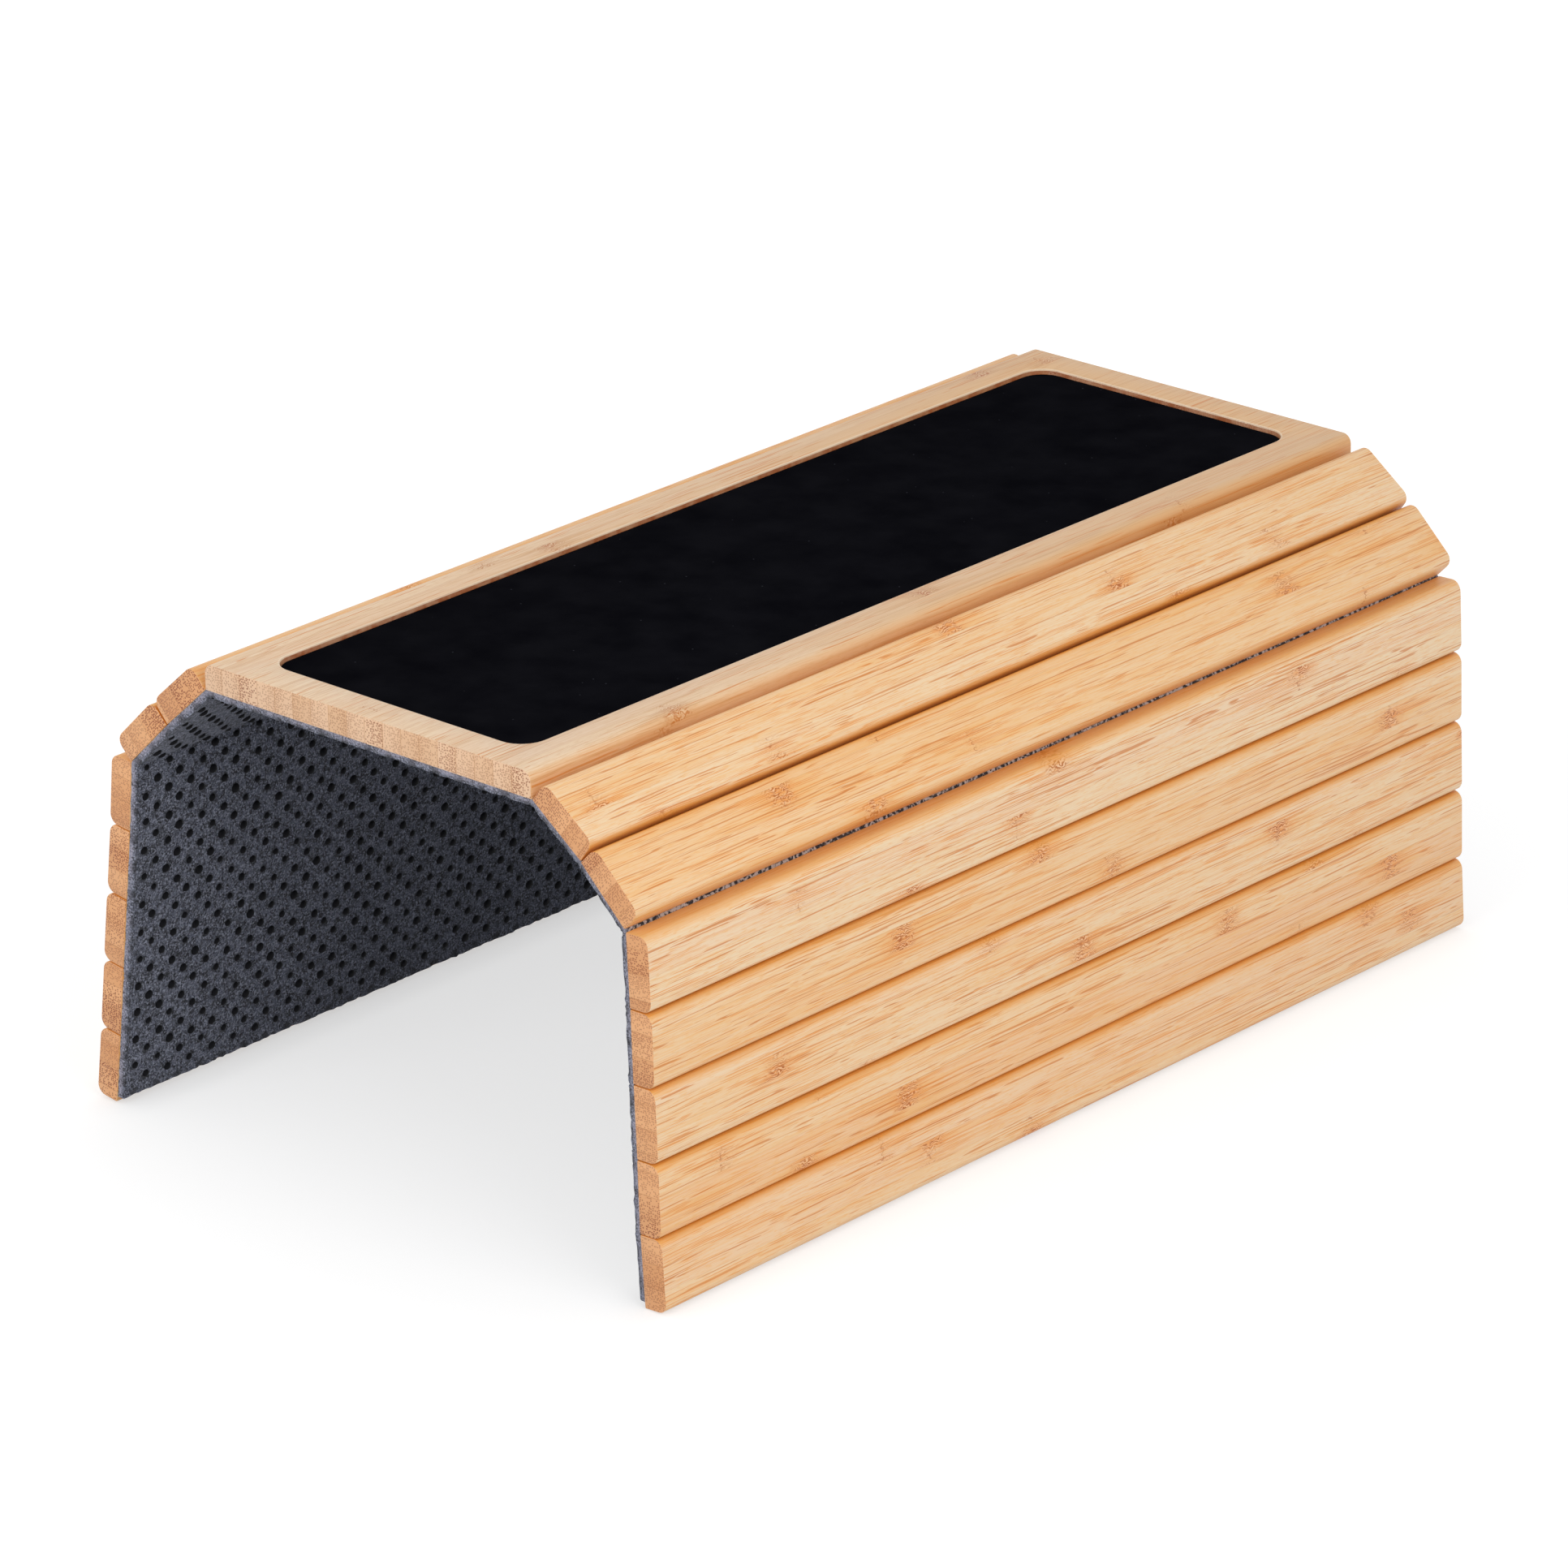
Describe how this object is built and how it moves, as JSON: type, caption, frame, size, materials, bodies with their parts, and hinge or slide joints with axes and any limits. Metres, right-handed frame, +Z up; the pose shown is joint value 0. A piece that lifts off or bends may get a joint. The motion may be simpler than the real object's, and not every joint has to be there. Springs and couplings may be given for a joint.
{
  "type": "sofa arm tray",
  "caption": "Flexible bamboo tray that drapes over a sofa arm: a flat centre board with a recessed black inlay, and hinged slats down both sides on a felt backing.",
  "frame": {"origin": "on the floor under the middle of the whole standing tray", "axes": "+X to the right flank across the tray, +Y along the slats to the far end, +Z up"},
  "size_m": [0.2248, 0.35, 0.1471],
  "materials": {
    "bamboo_board": "satin",
    "bamboo_slat": "satin",
    "backing_felt": "matte",
    "inlay_felt": "matte"
  },
  "bodies": {
    "board": {"centre_board": "bamboo_board", "tray_inlay": "inlay_felt", "felt_centre": "backing_felt"},
    "left_1": {"left_slat_1": "bamboo_slat", "felt_left_1": "backing_felt"},
    "left_2": {"left_slat_2": "bamboo_slat", "felt_left_2": "backing_felt"},
    "left_3": {"left_slat_3": "bamboo_slat", "felt_left_3": "backing_felt"},
    "left_4": {"left_slat_4": "bamboo_slat", "felt_left_4": "backing_felt"},
    "left_5": {"left_slat_5": "bamboo_slat", "felt_left_5": "backing_felt"},
    "left_6": {"left_slat_6": "bamboo_slat", "felt_left_6": "backing_felt"},
    "left_7": {"left_slat_7": "bamboo_slat", "felt_left_7": "backing_felt"},
    "right_1": {"right_slat_1": "bamboo_slat", "felt_right_1": "backing_felt"},
    "right_2": {"right_slat_2": "bamboo_slat", "felt_right_2": "backing_felt"},
    "right_3": {"right_slat_3": "bamboo_slat", "felt_right_3": "backing_felt"},
    "right_4": {"right_slat_4": "bamboo_slat", "felt_right_4": "backing_felt"},
    "right_5": {"right_slat_5": "bamboo_slat", "felt_right_5": "backing_felt"},
    "right_6": {"right_slat_6": "bamboo_slat", "felt_right_6": "backing_felt"},
    "right_7": {"right_slat_7": "bamboo_slat", "felt_right_7": "backing_felt"}
  },
  "joints": [
    {"name": "left_bend_1", "type": "hinge", "parent": "board", "child": "left_1", "pos_m": [-0.05858, 0, 0.13913], "axis": [0, -1, 0], "range_deg": [-44, 8.5]},
    {"name": "left_bend_2", "type": "hinge", "parent": "left_1", "child": "left_2", "pos_m": [-0.07506, 0, 0.12455], "axis": [0, -1, 0], "range_deg": [-5, 27.5]},
    {"name": "left_bend_3", "type": "hinge", "parent": "left_2", "child": "left_3", "pos_m": [-0.09088, 0, 0.10927], "axis": [0, -1, 0], "range_deg": [-42.5, 10]},
    {"name": "left_bend_4", "type": "hinge", "parent": "left_3", "child": "left_4", "pos_m": [-0.09318, 0, 0.08739], "axis": [0, -1, 0], "range_deg": [-1, 36.5]},
    {"name": "left_bend_5", "type": "hinge", "parent": "left_4", "child": "left_5", "pos_m": [-0.09605, 0, 0.06558], "axis": [0, -1, 0], "range_deg": [-2.5, 35]},
    {"name": "left_bend_6", "type": "hinge", "parent": "left_5", "child": "left_6", "pos_m": [-0.09892, 0, 0.04377], "axis": [0, -1, 0], "range_deg": [-2.5, 35]},
    {"name": "left_bend_7", "type": "hinge", "parent": "left_6", "child": "left_7", "pos_m": [-0.1018, 0, 0.02196], "axis": [0, -1, 0], "range_deg": [-2, 35.5]},
    {"name": "right_bend_1", "type": "hinge", "parent": "board", "child": "right_1", "pos_m": [0.06772, 0, 0.13913], "axis": [0, 1, 0], "range_deg": [-39.5, 13]},
    {"name": "right_bend_2", "type": "hinge", "parent": "right_1", "child": "right_2", "pos_m": [0.08529, 0, 0.12589], "axis": [0, 1, 0], "range_deg": [-10, 22.5]},
    {"name": "right_bend_3", "type": "hinge", "parent": "right_2", "child": "right_3", "pos_m": [0.10127, 0, 0.11019], "axis": [0, 1, 0], "range_deg": [-46, 6.5]},
    {"name": "right_bend_4", "type": "hinge", "parent": "right_3", "child": "right_4", "pos_m": [0.10205, 0, 0.08781], "axis": [0, 1, 0], "range_deg": [-3.5, 34]},
    {"name": "right_bend_5", "type": "hinge", "parent": "right_4", "child": "right_5", "pos_m": [0.10243, 0, 0.06581], "axis": [0, 1, 0], "range_deg": [-2, 35.5]},
    {"name": "right_bend_6", "type": "hinge", "parent": "right_5", "child": "right_6", "pos_m": [0.10301, 0, 0.04382], "axis": [0, 1, 0], "range_deg": [-3, 34.5]},
    {"name": "right_bend_7", "type": "hinge", "parent": "right_6", "child": "right_7", "pos_m": [0.10339, 0, 0.02182], "axis": [0, 1, 0], "range_deg": [-0.5, 37]}
  ]
}
